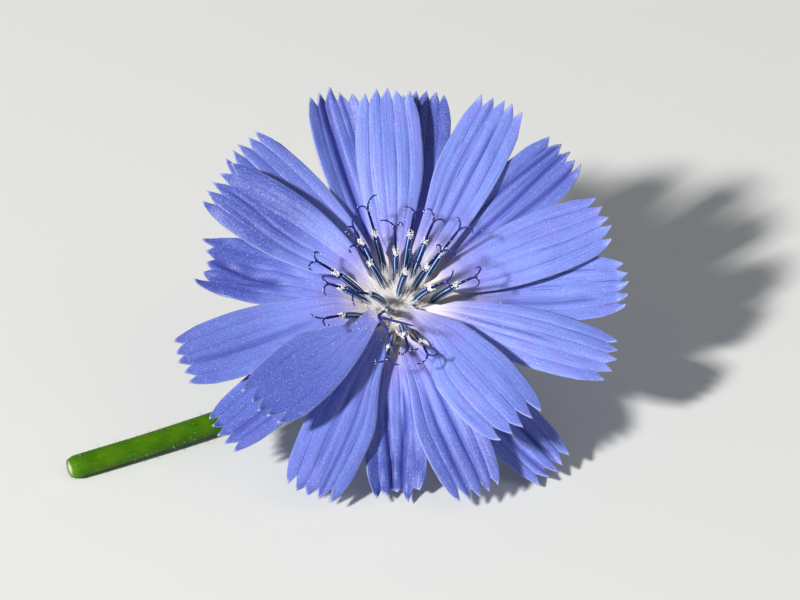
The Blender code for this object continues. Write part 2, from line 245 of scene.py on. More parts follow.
def lines_group():
    """Lines that run the length of a strap, leaf or stalk, from its own across and along."""
    group = bpy.data.node_groups.new("lengthwise_lines", "ShaderNodeTree")
    face = group.interface
    inputs = (("Across", 0.5), ("Along", 0.5), ("Piece", 0.0), ("Lobes", 5.0), ("Streaks", 40.0))
    for name, value in inputs:
        face.new_socket(name, in_out="INPUT", socket_type="NodeSocketFloat").default_value = value
    for name in ("Grooves", "Streaks"):
        face.new_socket(name, in_out="OUTPUT", socket_type="NodeSocketFloat")
    entry = group.nodes.new("NodeGroupInput")
    leave = group.nodes.new("NodeGroupOutput")
    across, along, own = entry.outputs["Across"], entry.outputs["Along"], entry.outputs["Piece"]
    drift = patches(group, across, 3.0, along, 3.5, own)
    swayed = math_node(group, "MULTIPLY_ADD", math_node(group, "SUBTRACT", drift, 0.5), 0.07, across)
    lobe = math_node(group, "PINGPONG", times(group, swayed, entry.outputs["Lobes"]), 0.5)
    vein = math_node(group, "PINGPONG", times(group, lobe, 4.0), 0.5)
    strong = patches(group, across, 9.0, along, 4.4, own)
    weak = patches(group, across, 17.0, along, 6.0, own)
    crisp = times(group, between(group, lobe, 0.05, 0.012), between(group, strong, 0.42, 0.62))
    faint = times(group, between(group, vein, 0.16, 0.04), between(group, weak, 0.5, 0.7, 0.0, 0.6))
    soft = between(group, lobe, 0.2, 0.0, 0.0, 0.16)
    grooves = math_node(group, "MAXIMUM", math_node(group, "MAXIMUM", crisp, faint), soft)
    fine = patches(group, swayed, entry.outputs["Streaks"], along, 2.2, own)
    group.links.new(grooves, leave.inputs["Grooves"])
    group.links.new(fine, leave.inputs["Streaks"])
    return group


SKIN = skin_group()
LINES = lines_group()


def skin(tree, bump_size, cloud_size):
    """The living skin, placed in a material with its own sizes."""
    made = tree.nodes.new("ShaderNodeGroup")
    made.node_tree = SKIN
    made.inputs["Bump Size"].default_value = bump_size
    made.inputs["Cloud Size"].default_value = cloud_size
    return made.outputs["Bumps"], made.outputs["Clouds"], made.outputs["Painted Glints"]


def lines(tree, across, along, own, lobes, streaks):
    """The lengthwise lines, placed in a material with its own numbers."""
    made = tree.nodes.new("ShaderNodeGroup")
    made.node_tree = LINES
    for name, socket in (("Across", across), ("Along", along), ("Piece", own)):
        tree.links.new(socket, made.inputs[name])
    made.inputs["Lobes"].default_value = lobes
    made.inputs["Streaks"].default_value = streaks
    return made.outputs["Grooves"], made.outputs["Streaks"]


def cover(tree, shader, colour, relief=None, strength=0.0, depth=0.0):
    """Gives a material its colour, and relief too fine for the mesh."""
    tree.links.new(colour, shader.inputs["Base Color"])
    if relief is not None:
        bump = add(tree, "ShaderNodeBump", Height=relief, Strength=strength, Distance=depth * MM)
        tree.links.new(bump.outputs["Normal"], shader.inputs["Normal"])


RECEPTACLE_STEPS = 40
RECEPTACLE_RIBS = 10
COLLAR_TOP = 0.3
COLLAR_FOOT_RADIUS = 1.2
RECEPTACLE_OUTLINE = (
    (0.0, 1.5), (0.9, 1.52), (1.8, 1.5), (2.4, 1.42), (2.58, 1.2), (2.6, 0.7), (3.2, 0.6), (3.46, 0.5),
    (3.48, 0.1), (3.9, 0.02), (4.06, -0.07), (3.9, -0.2), (3.2, -0.4), (2.3, -0.62), (1.6, -0.95),
    (1.25, -1.3), (1.08, -1.6), (0.6, -1.9), (0.0, -2.0),
)
green, tree, shader = new_material("receptacle_green", 0.55)
bumps, clouds, _ = skin(tree, 0.12, 1.2)
colour = coats(
    tree, (0.10, 0.24, 0.035),
    (between(tree, clouds, 0.35, 0.65), (0.16, 0.32, 0.06)),
    (between(tree, reading(tree, "height"), 1.0, 1.45), (0.62, 0.66, 0.42)),
)
cover(tree, shader, colour, bumps, 0.4, 0.03)

bm = turned(RECEPTACLE_OUTLINE, RECEPTACLE_STEPS)
paint(bm, "height", lambda vert: vert.co.z)
for vert in bm.verts:
    if vert.co.z < COLLAR_TOP and vert.co.xy.length > COLLAR_FOOT_RADIUS:
        vert.co.xy *= 1.0 - 0.02 * (1.0 + math.cos(RECEPTACLE_RIBS * bearing(vert)))
growth("receptacle", bm, [green], ["stalk"])


# The stalk is a living green stem, cut off 32 mm from the head. It is faintly ribbed along its length, has a
# few stiff hairs, and its cut end shows the paler pith. It lies on the surface and turns up into the
# receptacle.
STALK_RADIUS = 1.0
STALK_SIDES = 36
STALK_STEPS = 64
STALK_RIBS = 9
STALK_HAIRS = 150
STALK_HAIR_THICK = 0.022
STALK_HAIR_PALE = 0.6
STALK_BOW = 0.9
BOW_WAY = Vector((0.3, -0.95, 0.28))
BOW_POINTS = 8
CURVE_STEPS = 40
CUT_ASIDE = Vector((27.5, 16.0))
KNOB_DEPTH = 1.1
STREAK_PACE = 16.0


def eased(a, b, c, d, t):
    """The smooth course from b to c, for numbers or points, with a before them and d after."""
    return 0.5 * (2.0 * b + (c - a) * t + (2.0 * a - 5.0 * b + 4.0 * c - d) * t * t
                  + (3.0 * b - 3.0 * c + d - a) * t * t * t)


def through(points, steps):
    """Evenly spaced points on a smooth curve through a few."""
    ends = [points[0] * 2.0 - points[1]] + points + [points[-1] * 2.0 - points[-2]]
    fine = [
        eased(*ends[index : index + 4], step / CURVE_STEPS)
        for index in range(len(points) - 1) for step in range(CURVE_STEPS)
    ]
    fine.append(points[-1].copy())
    reach = [0.0]
    for before, after in zip(fine, fine[1:]):
        reach.append(reach[-1] + (after - before).length)
    even = []
    spot = 0
    for step in range(steps + 1):
        wanted = reach[-1] * step / steps
        while spot < len(reach) - 2 and reach[spot + 1] < wanted:
            spot += 1
        share = (wanted - reach[spot]) / max(reach[spot + 1] - reach[spot], 1e-9)
        even.append(fine[spot].lerp(fine[spot + 1], min(share, 1.0)))
    return even


def closed_rod(sides, rings):
    """A straight closed rod, 1 long and 1 in radius, to be laid along a path."""
    bm = bmesh.new()
    bmesh.ops.create_cone(
        bm, cap_ends=True, cap_tris=True, segments=sides, radius1=1.0, radius2=1.0, depth=1.0
    )
    long_edges = [edge for edge in bm.edges if abs(edge.verts[0].co.z - edge.verts[1].co.z) > 0.5]
    bmesh.ops.subdivide_edges(bm, edges=long_edges, cuts=rings - 1)
    bmesh.ops.translate(bm, verts=bm.verts[:], vec=(0.0, 0.0, 0.5))
    return bm


def frames(path, first_side):
    """The way on and two sideways directions at each point of a path, without twist."""
    side = first_side
    found = []
    for index, spot in enumerate(path):
        ahead = (path[min(index + 1, len(path) - 1)] - path[max(index - 1, 0)]).normalized()
        side = (side - ahead * side.dot(ahead)).normalized()
        found.append((spot, ahead, side, ahead.cross(side)))
    return found


def lay_along(bm, path, radius, first_side):
    """Bends a straight rod along a path. The radius may change along it and round it."""
    places = frames(path, first_side)
    rings = len(path) - 1
    for vert in bm.verts:
        ring = min(max(round(vert.co.z * rings), 0), rings)
        angle = bearing(vert)
        wide = vert.co.xy.length
        spot, _, side, other = places[ring]
        out = side * math.cos(angle) + other * math.sin(angle)
        vert.co = spot + out * (wide * radius(ring / rings, angle))
    bmesh.ops.recalc_face_normals(bm, faces=bm.faces[:])


def add_bristle(bm, foot, way, length, thick, head=0.0):
    """One stiff hair, a three-sided spike, with a small round gland at its end if it has one."""
    spike = bmesh.ops.create_cone(
        bm, cap_ends=True, segments=3, radius1=thick, radius2=thick * 0.3, depth=length,
        matrix=stand(way, foot + way * (length * 0.45)),
    )
    if head:
        end = foot + way * (length * 0.95 + head * 0.5)
        gland = bmesh.ops.create_icosphere(
            bm, subdivisions=1, radius=head, matrix=Matrix.Translation(end)
        )
        return spike["verts"] + gland["verts"]
    return spike["verts"]


knob = HEAD / MM - AXIS * KNOB_DEPTH
cut = Vector((HEAD.x / MM - CUT_ASIDE.x, HEAD.y / MM - CUT_ASIDE.y, STALK_RADIUS))
near = Vector((HEAD.x / MM - 2.0, knob.y - 0.7, STALK_RADIUS))
route = []
for index in range(BOW_POINTS):
    share = index / (BOW_POINTS - 1)
    route.append(cut.lerp(near, share) + BOW_WAY * (STALK_BOW * math.sin(math.pi * share)))
route.append(Vector((HEAD.x / MM - 0.75, knob.y - 0.15, STALK_RADIUS + 0.15)))
route.append(knob)
stalk_path = through(route, STALK_STEPS)


def stalk_radius(share, angle):
    """Slightly swollen and ribbed, and turned in at the cut."""
    ribs = 0.022 * math.cos(STALK_RIBS * angle + 1.5 * share)
    uneven = 0.02 * math.sin(9.0 * share + 1.0) + 0.012 * math.sin(23.0 * share)
    cut_edge = 0.82 + 0.18 * ramp(share / 0.012)
    return (0.94 + 0.035 * share + ribs + uneven * (1.0 - share)) * cut_edge


stalk_green, tree, shader = new_material("stalk_green", 0.5)
bumps, clouds, _ = skin(tree, 0.14, 1.6)
_, streaks = lines(tree, reading(tree, "around"), reading(tree, "along"), reading(tree, "piece"), 9.0, 22.0)
pith = tint(tree, between(tree, clouds, 0.4, 0.6), (0.62, 0.66, 0.42), (0.48, 0.56, 0.28))
colour = coats(
    tree, (0.040, 0.135, 0.001),
    (between(tree, clouds, 0.3, 0.7), (0.068, 0.185, 0.002)),
    (between(tree, streaks, 0.55, 0.75, 0.0, 0.55), (0.13, 0.27, 0.006)),
    (between(tree, streaks, 0.45, 0.28, 0.0, 0.5), (0.024, 0.075, 0.002)),
    (reading(tree, "cut"), pith),
)
cover(tree, shader, colour, math_node(tree, "MULTIPLY_ADD", streaks, 2.0, bumps), 0.5, 0.03)
shader.inputs["Specular IOR Level"].default_value = 0.12

bm = closed_rod(STALK_SIDES, STALK_STEPS)
paint(bm, "along", lambda vert: vert.co.z * STREAK_PACE)
paint(bm, "around", lambda vert: abs(bearing(vert)) / math.pi * 2.0)
paint(bm, "piece", lambda vert: 1.0 if vert.co.y > 0.0 else 2.0)
paint(bm, "cut", lambda vert: 1.0 if vert.co.z < 0.001 and vert.co.xy.length < 0.5 else 0.0)
lay_along(bm, stalk_path, stalk_radius, UP)
lowest = min(vert.co.z for vert in bm.verts)
stalk_drop = Matrix.Translation((0.0, 0.0, -lowest))
along, pale = bm.verts.layers.float["along"], bm.verts.layers.float["cut"]
places = frames(stalk_path, UP)
dice = random.Random(5)
for _ in range(STALK_HAIRS):
    share = dice.uniform(0.02, 0.9)
    spot, ahead, side, other = places[round(share * STALK_STEPS)]
    angle = dice.uniform(-2.0, 2.0)
    out = side * math.cos(angle) + other * math.sin(angle)
    way = (out + ahead * dice.uniform(-0.5, 0.2)).normalized()
    for vert in add_bristle(bm, spot + out * 0.9, way, dice.uniform(0.25, 0.55), STALK_HAIR_THICK):
        vert[along] = share * STREAK_PACE
        vert[pale] = STALK_HAIR_PALE
growth("cut_stalk", bm, [stalk_green], ["stalk"], Matrix.Scale(MM, 4) @ stalk_drop)


# Two rows of green bracts hold the florets in a narrow cup: 8 long ones that stand up close to the corolla
# tubes, and 5 short ones whose tips spread. Each is a small pointed leaf with a keel, paler thin margins
# and, on the keel and the margins, stiff hairs that end in a gland.
# kind, how many, first azimuth, width, hairs, first seed, heights and distances from the axis
BRACTS = (
    ("inner", 8, 22.5, 2.42, 34, 1,
     ((0.62, 3.16), (2.2, 3.42), (4.2, 3.55), (6.4, 3.55), (7.6, 3.7), (8.5, 3.95))),
    ("outer", 5, 30.0, 2.9, 60, 21, ((0.0, 3.98), (1.4, 4.34), (2.8, 4.55), (4.0, 5.0), (4.9, 5.9))),
)
BRACT_WIDTHS = (0.85, 0.97, 1.0, 0.93, 0.7, 0.2)
BRACT_WALL = 0.3
BRACT_COLUMNS = 12
BRACT_ROWS = 26
HAIRY_COLUMNS = (0, 5, 6, 6, 6, 7, 12)
BRACT_HAIR_THICK = 0.02
GLAND = 0.035


def along_list(values, share):
    """A value part of the way along a list, eased through its entries."""
    last = len(values) - 1
    low = min(int(share * last), last - 1)
    before, after = values[max(low - 1, 0)], values[min(low + 2, last)]
    return eased(before, values[low], values[low + 1], after, share * last - low)


def sheet_place(tree):
    """How far across and along its own sheet a point lies."""
    flat = add(tree, "ShaderNodeSeparateXYZ", Vector=tree.nodes.new("ShaderNodeUVMap").outputs["UV"])
    return flat.outputs["X"], flat.outputs["Y"]


bract_green, tree, shader = new_material("bract_green", 0.55)
across, along = sheet_place(tree)
bumps, _, _ = skin(tree, 0.13, 1.4)
grooves, streaks = lines(tree, across, along, reading(tree, "piece"), 7.0, 30.0)
margin = math_node(tree, "ABSOLUTE", math_node(tree, "MULTIPLY_ADD", across, 2.0, -1.0))
lengthwise = shades(
    tree, along,
    ((0.0, (0.34, 0.42, 0.16)), (0.25, (0.13, 0.27, 0.045)), (0.8, (0.10, 0.23, 0.035)),
     (1.0, (0.12, 0.15, 0.06))),
)
colour = coats(
    tree, lengthwise,
    (between(tree, streaks, 0.5, 0.72, 0.0, 0.45), (0.22, 0.38, 0.11)),
    (times(tree, grooves, 0.35), (0.05, 0.14, 0.02)),
    (between(tree, margin, 0.78, 0.98, 0.0, 0.75), (0.45, 0.50, 0.28)),
    (times(tree, reading(tree, "inner"), 0.85), (0.66, 0.70, 0.50)),
    (reading(tree, "hair"), (0.50, 0.52, 0.26)),
)
cover(tree, shader, colour, math_node(tree, "MULTIPLY_ADD", streaks, 1.5, bumps), 0.5, 0.03)


def fine_sheet(columns, rows):
    """A flat sheet of small squares, from -1 to 1 both ways, to be shaped."""
    bm = bmesh.new()
    bm.loops.layers.uv.new("UVMap")
    bmesh.ops.create_grid(bm, x_segments=columns, y_segments=rows, size=1.0, calc_uvs=True)
    return bm


def make_bract(name, azimuth, width, hairs, seed, profile):
    """One bract with its hairs."""
    bm = fine_sheet(BRACT_COLUMNS, BRACT_ROWS)
    dice = random.Random(seed)
    heights, radii = zip(*profile)
    places = {}
    for vert in bm.verts:
        t, share = vert.co.x, 0.5 * (vert.co.y + 1.0)
        height, radius = along_list(heights, share), along_list(radii, share)
        wide = along_list(BRACT_WIDTHS, share)
        keel = 0.12 * (1.0 - abs(t)) ** 2 * (1.0 - 0.6 * share)
        wave = 0.05 * noise.noise(Vector((t * 1.5, share * 4.0, seed * 3.7)))
        turned_by = math.degrees(0.5 * width * wide * t / radius)
        vert.co = polar(radius + keel * 0.5 + wave, azimuth - turned_by, height)
        places[(round((t + 1.0) * 0.5 * BRACT_COLUMNS), round(share * BRACT_ROWS))] = vert.co.copy()
    paint(bm, "piece", lambda vert: float(seed))
    paint(bm, "hair", lambda vert: 0.0)
    bmesh.ops.solidify(bm, geom=bm.faces[:], thickness=0.0001)
    bmesh.ops.recalc_face_normals(bm, faces=bm.faces[:])
    outward = polar(1.0, azimuth)
    paint(bm, "inner", lambda vert: 1.0 if vert.normal.dot(outward) < 0.0 else 0.0)
    for vert in bm.verts:
        vert.co += vert.normal * (BRACT_WALL * 0.5)
    own, hair = bm.verts.layers.float["piece"], bm.verts.layers.float["hair"]
    for _ in range(hairs):
        foot = places[(dice.choice(HAIRY_COLUMNS), dice.randint(3, BRACT_ROWS - 2))] + outward * 0.12
        way = outward + Vector((dice.uniform(-0.4, 0.4), dice.uniform(-0.4, 0.4), dice.uniform(-0.1, 0.7)))
        way.normalize()
        for vert in add_bristle(bm, foot, way, dice.uniform(0.2, 0.5), BRACT_HAIR_THICK, GLAND):
            vert[own] = float(seed)
            vert[hair] = 1.0
    growth(name, bm, [bract_green], [name])


for kind, many, start, width, hairs, first, profile in BRACTS:
    for index in range(many):
        name = f"{kind}_bract_{index + 1}"
        make_bract(name, start + index * 360.0 / many, width, hairs, first + index, profile)


# A floret is one small flower of the head. Its corolla is a pale thin tube on a small ribbed ovary, crowned
# with a few short scales. The tube is hidden in the cup, apart from its mouth in the throat of the head.
# number, ring, throat azimuth, throat radius, tip azimuth, reach, level, rise in degrees, width, roll, arch
OUTER, INNER, CENTRE = 2, 1, 0
FLORETS = (
    (1, INNER, 93, 1.25, 93, 18.8, 1, 5.5, 5.7, 0, -0.25),
    (2, OUTER, 111, 2.75, 107, 20.3, 0, 2.5, 5.2, 4, 0.65),
    (3, OUTER, 77.5, 2.75, 83, 19.7, 0, 1.5, 5.2, -3, 0.1),
    (4, OUTER, 59.5, 2.25, 63, 20.1, 1, 3.5, 5.4, -4, 0.15),
    (5, OUTER, 42, 2.75, 43, 20.1, 0, 2.5, 5.6, -3, 0.3),
    (6, INNER, 28.5, 1.35, 21, 19.3, 1, 5.0, 5.8, -2, -0.2),
    (7, OUTER, 5, 2.75, 4, 19.8, 0, 2.5, 5.4, 4, 0.2),
    (8, INNER, 349, 1.35, 342, 19.4, 1, 3.5, 5.2, 2, -0.2),
    (9, CENTRE, 30, 0.2, 309, 16.7, 2, 9.0, 6.4, 0, -0.3),
    (10, OUTER, 298.5, 2.8, 313, 19.8, 0, -7.2, 5.2, 3, 0.1),
    (11, OUTER, 278, 2.2, 291.5, 19.0, 1, 0.0, 5.4, 4, 0.25),
    (12, OUTER, 263, 2.8, 270, 17.6, 0, -2.0, 5.2, 0, 0.5),
    (13, INNER, 247.5, 1.3, 247, 19.3, 1, 0.5, 5.8, -2, -0.2),
    (14, INNER, 211, 1.3, 224, 16.3, 2, 8.0, 6.2, -2, -0.3),
    (15, OUTER, 203.5, 2.8, 219, 19.5, 0, 0.5, 5.2, 0, 0.1),
    (16, OUTER, 183.5, 2.25, 198, 19.5, 1, 2.0, 5.6, -3, 0.15),
    (17, OUTER, 165, 2.75, 168, 17.6, 0, 3.0, 5.4, -3, 0.1),
    (18, INNER, 148, 1.25, 148, 18.6, 2, 4.0, 5.8, 2, -0.25),
    (19, OUTER, 128.5, 2.25, 134, 19.6, 1, 2.0, 5.4, 3, 0.15),
)
THROAT_HEIGHT = 9.6
OVARY_TOP = 2.1
OVARY_RIBS = 5
OVARY_RINGS = {OUTER: 2.3, INNER: 1.15, CENTRE: 0.0}
OVARY_RING_SIZE = {OUTER: 12, INNER: 6, CENTRE: 1}
OVARY_START = {OUTER: -14.0, INNER: 30.0, CENTRE: 0.0}
TUBE_STEPS = 18
MOUTH_HAIRS = {OUTER: 110, INNER: 300, CENTRE: 460}
HAIR_LENGTHS = {OUTER: (0.8, 1.9), INNER: (1.7, 3.2), CENTRE: (2.1, 3.6)}
HAIR_THICK = 0.038
# The share of the tube's own colours at which those of its hairs start
HAIR_FOOT = 0.8


def ovary_foot(floret):
    """Where a floret stands on the receptacle: rings of 1, 6 and 12, in the order of their throats."""
    number, ring = floret[:2]
    order = sorted((row[2], row[0]) for row in FLORETS if row[1] == ring)
    place = [row[1] for row in order].index(number)
    step = 360.0 / OVARY_RING_SIZE[ring]
    start = OVARY_START[ring]
    shift = round((order[0][0] - start) / step) * step
    return polar(OVARY_RINGS[ring], start + shift + place * step, OVARY_FOOT)


def mouth(floret):
    """The middle of a corolla tube's mouth."""
    return polar(floret[3], floret[2], THROAT_HEIGHT + floret[6])


tube_pale, tree, shader = new_material("corolla_tube_pale", 0.5)
bumps, clouds, _ = skin(tree, 0.1, 1.0)
upward = shades(
    tree, reading(tree, "up"),
    ((0.0, (0.40, 0.33, 0.16)), (0.19, (0.62, 0.56, 0.34)), (0.24, (0.82, 0.82, 0.70)),
     (HAIR_FOOT, (0.58, 0.54, 0.44)), (1.0, (0.70, 0.68, 0.76))),
)
colour = tint(tree, between(tree, clouds, 0.4, 0.7, 0.0, 0.15), upward, (0.80, 0.78, 0.64))
cover(tree, shader, colour, bumps, 0.3, 0.02)
shader.inputs["Sheen Weight"].default_value = 0.8
shader.inputs["Sheen Roughness"].default_value = 0.4


def make_tube(floret):
    """Ovary and corolla tube, spun as one form and stood between the plate and the throat."""
    foot, top = ovary_foot(floret), mouth(floret)
    length = (top - foot).length
    outline = (
        (0.0, -0.28), (0.24, -0.27), (0.28, 0.08), (0.4, 0.7), (0.44, 1.5), (0.43, 1.95), (0.38, 2.14),
        (0.44, 2.24), (0.4, 2.34), (0.26, 2.42), (0.24, 3.2), (0.25, length - 2.4), (0.3, length - 1.0),
        (0.38, length - 0.35), (0.54, length - 0.02), (0.53, length + 0.03), (0.36, length - 0.2),
        (0.28, length - 0.6), (0.14, length - 1.5), (0.0, length - 1.6),
    )
    bm = turned(outline, TUBE_STEPS)
    for vert in bm.verts:
        if 0.05 < vert.co.z < OVARY_TOP:
            vert.co.xy *= 1.0 + 0.035 * math.cos(OVARY_RIBS * bearing(vert))
    paint(bm, "up", lambda vert: vert.co.z / length)
    bmesh.ops.transform(bm, matrix=stand(top - foot, foot), verts=bm.verts[:])
    dice = random.Random(50 + floret[0])
    height = bm.verts.layers.float["up"]
    for _ in range(MOUTH_HAIRS[floret[1]]):
        ring = polar(1.0, dice.uniform(0.0, 360.0))
        way = (ring * dice.uniform(0.1, 0.75) + UP).normalized()
        spot = top + ring * 0.3 - Vector((0.0, 0.0, dice.uniform(0.0, 0.9)))
        hair_length = dice.uniform(*HAIR_LENGTHS[floret[1]])
        for vert in add_bristle(bm, spot, way, hair_length, HAIR_THICK):
            part = min((vert.co - spot).length / hair_length, 1.0)
            vert[height] = HAIR_FOOT + (1.0 - HAIR_FOOT) * part
    name = f"corolla_tube_{floret[0]:02d}"
    return growth(name, bm, [tube_pale], [f"floret_{floret[0]:02d}"])


for row in FLORETS:
    # Light passes through the pale hairs and thin walls, so they throw no shadow
    make_tube(row).visible_shadow = False


# The five anthers of a floret are joined into a dark blue tube, with a pale line along each join and a small
# point on each anther. The tube hangs on five white threads that grow from the corolla's mouth.
ANTHER_LENGTH = 4.6
STYLE_LENGTH = 2.7
ANTHERS = 5
TUBE_SIDES = 40
COLUMN_STEPS = 44
TUBE_END = round(COLUMN_STEPS * ANTHER_LENGTH / (ANTHER_LENGTH + STYLE_LENGTH))
TUBE_WIDTHS = (0.17, 0.25, 0.29, 0.30, 0.30, 0.295, 0.26)
POINT_LENGTH = 0.26
TOP_HOLLOW = 0.15
THREAD_THICK = 0.05
THREAD_SIDES = 5
THREAD_STEPS = 6
LEAN_AT_FOOT = {OUTER: 20.0, INNER: 8.0, CENTRE: 2.0}
LEAN_AT_TOP = {OUTER: 50.0, INNER: 36.0, CENTRE: 18.0}
PUSHED_ASIDE = {10: -12.0, 15: 8.0}


def column_path(floret):
    """The line that a floret's anther tube and style follow, and the way it leans."""
    number, ring, azimuth = floret[:3]
    outward = polar(1.0, azimuth + PUSHED_ASIDE.get(number, 0.0))
    spot = mouth(floret) + Vector((0.0, 0.0, 0.3)) - polar(0.08, azimuth)
    path = [spot.copy()]
    for index in range(COLUMN_STEPS):
        share = (index + 0.5) / COLUMN_STEPS
        lean = math.radians(LEAN_AT_FOOT[ring] + (LEAN_AT_TOP[ring] - LEAN_AT_FOOT[ring]) * share)
        heading = outward * math.sin(lean) + Vector((0.0, 0.0, math.cos(lean)))
        spot = spot + heading * ((ANTHER_LENGTH + STYLE_LENGTH) / COLUMN_STEPS)
        path.append(spot.copy())
    return path, heading, outward


anther_blue, tree, shader = new_material("anther_blue", 0.32)
bumps, clouds, _ = skin(tree, 0.08, 0.8)
upward = shades(
    tree, reading(tree, "up"),
    ((0.0, (0.82, 0.78, 0.62)), (0.1, (0.66, 0.66, 0.54)), (0.22, (0.002, 0.020, 0.085)),
     (0.7, (0.003, 0.028, 0.13)), (1.0, (0.010, 0.025, 0.17))),
)
colour = coats(
    tree, upward,
    (between(tree, clouds, 0.4, 0.7, 0.0, 0.5), (0.003, 0.055, 0.17)),
    (between(tree, reading(tree, "join"), 0.5, 0.85), (0.55, 0.74, 0.98)),
)
cover(tree, shader, colour, bumps, 0.25, 0.02)
shader.inputs["Coat Weight"].default_value = 0.12
shader.inputs["Coat Roughness"].default_value = 0.25
shader.inputs["Specular IOR Level"].default_value = 0.25

thread_white, tree, shader = new_material("thread_white", 0.4)
_, clouds, _ = skin(tree, 0.08, 0.5)
cover(tree, shader, tint(tree, between(tree, clouds, 0.3, 0.7), (0.80, 0.82, 0.74), (0.66, 0.70, 0.80)))


def tube_width(share, angle):
    """The anther tube's radius, a little drawn in along each join."""
    return along_list(TUBE_WIDTHS, share) * (1.0 - 0.05 * math.cos(ANTHERS * angle))


def beside_join(vert):
    """How near a point of the upright tube is to a join."""
    if vert.co.xy.length < 0.5:
        return 0.0
    return max(math.cos(ANTHERS * bearing(vert)), 0.0) ** 2


def join_in(bm, part):
    """Adds a finished part to a piece."""
    held = bpy.data.meshes.new("held")
    part.to_mesh(held)
    part.free()
    bm.from_mesh(held)
    bpy.data.meshes.remove(held)


def make_anther_tube(floret):
    """The tube of five joined anthers on its threads."""
    number = floret[0]
    path, _, outward = column_path(floret)
    bm = closed_rod(TUBE_SIDES, TUBE_END)
    spin = random.Random(200 + number).uniform(0.0, 2.0)
    paint(bm, "up", lambda vert: vert.co.z)
    paint(bm, "join", beside_join)
    angles = {vert: bearing(vert) for vert in bm.verts if vert.co.z > 0.999}
    rims = {vert for vert in angles if vert.co.xy.length > 0.5}
    lay_along(bm, path[: TUBE_END + 1], tube_width, Matrix.Rotation(spin, 3, "Z") @ outward)
    ahead = (path[TUBE_END] - path[TUBE_END - 1]).normalized()
    for vert in rims:
        point = max(-math.cos(ANTHERS * angles[vert]), 0.0)
        vert.co += ahead * (POINT_LENGTH * point) - (vert.co - path[TUBE_END]) * (0.35 * point)
    for vert in set(angles) - rims:
        vert.co -= ahead * TOP_HOLLOW
    start = mouth(floret) - Vector((0.0, 0.0, 0.5))
    for index in range(ANTHERS):
        angle = 2.0 * math.pi * index / ANTHERS + spin
        ring = Vector((math.cos(angle), math.sin(angle), 0.0))
        low, high = start + ring * 0.2, path[2] + ring * 0.17
        middle = low.lerp(high, 0.5) + ring * 0.05
        thread = closed_rod(THREAD_SIDES, THREAD_STEPS)
        line = through([low, middle, high], THREAD_STEPS)
        lay_along(thread, line, lambda share, angle: THREAD_THICK, Vector((1.0, 0.2, 0.1)))
        for face in thread.faces:
            face.material_index = 1
        join_in(bm, thread)
    name = f"anther_tube_{number:02d}"
    growth(name, bm, [anther_blue, thread_white], [f"anthers_{number:02d}"])


for row in FLORETS:
    make_anther_tube(row)


# The style grows up through the anther tube and brushes the pollen out. It is a thin violet-blue rod with
# short stiff hairs, and forks at its end into two branches that curl back.
STIGMA_STEPS = 16
STYLE_HAIRS = 160
STYLE_THICK = 0.115
STYLE_SIDES = 10
STYLE_HAIR_THICK = 0.013
BRANCH_THICK = 0.092
FALLEN_THICK = 0.135
# Branches that have straightened and lie across the throat: how long, and which way
FALLEN_BRANCHES = {13: ((3.5, (0.95, -0.30, 0.05)), (3.9, (0.42, -0.90, -0.12)))}

style_violet, tree, shader = new_material("style_violet", 0.45)
bumps, clouds, _ = skin(tree, 0.06, 0.7)
colour = coats(
    tree, (0.008, 0.010, 0.12),
    (between(tree, clouds, 0.35, 0.65), (0.018, 0.024, 0.22)),
    (reading(tree, "hair"), (0.045, 0.05, 0.32)),
)
cover(tree, shader, colour, bumps, 0.4, 0.02)
shader.inputs["Specular IOR Level"].default_value = 0.25


def style_lines(floret, forms):
    """The style's own line above the anthers, and its two branches."""
    path, heading, outward = column_path(floret)
    first = TUBE_END - 2
    sideways = heading.cross(outward).normalized()
    lean = forms.uniform(-0.25, 0.25)
    branches = []
    for length, fall in FALLEN_BRANCHES.get(floret[0], ()):
        branch = [path[-1].copy()]
        for index in range(STIGMA_STEPS):
            ahead = heading.lerp(Vector(fall), ramp((index + 1) / 5.0))
            ahead += sideways * (0.25 * math.sin(0.5 * index))
            branch.append(branch[-1] + ahead.normalized() * (length / STIGMA_STEPS))
        branches.append(branch)
    if branches:
        return path[first:], branches
    path = path[: len(path) - forms.choice((0, 0, 2, 4, 6))]
    for way in (-1.0, 1.0):
        turn = math.radians(forms.uniform(105.0, 225.0))
        length = forms.uniform(1.3, 1.9)
        bend = (sideways * way * 0.9 + outward * (0.3 + lean * way)).normalized()
        branch = [path[-1].copy()]
        for index in range(STIGMA_STEPS):
            angle = turn * ((index + 1) / STIGMA_STEPS) ** 1.25
            ahead = heading * math.cos(angle) + bend * math.sin(angle)
            branch.append(branch[-1] + ahead * (length / STIGMA_STEPS))
        branches.append(branch)
    return path[first:], branches


def any_way(dice):
    """A direction by chance."""
    return Vector((dice.gauss(0, 1), dice.gauss(0, 1), dice.gauss(0, 1))).normalized()


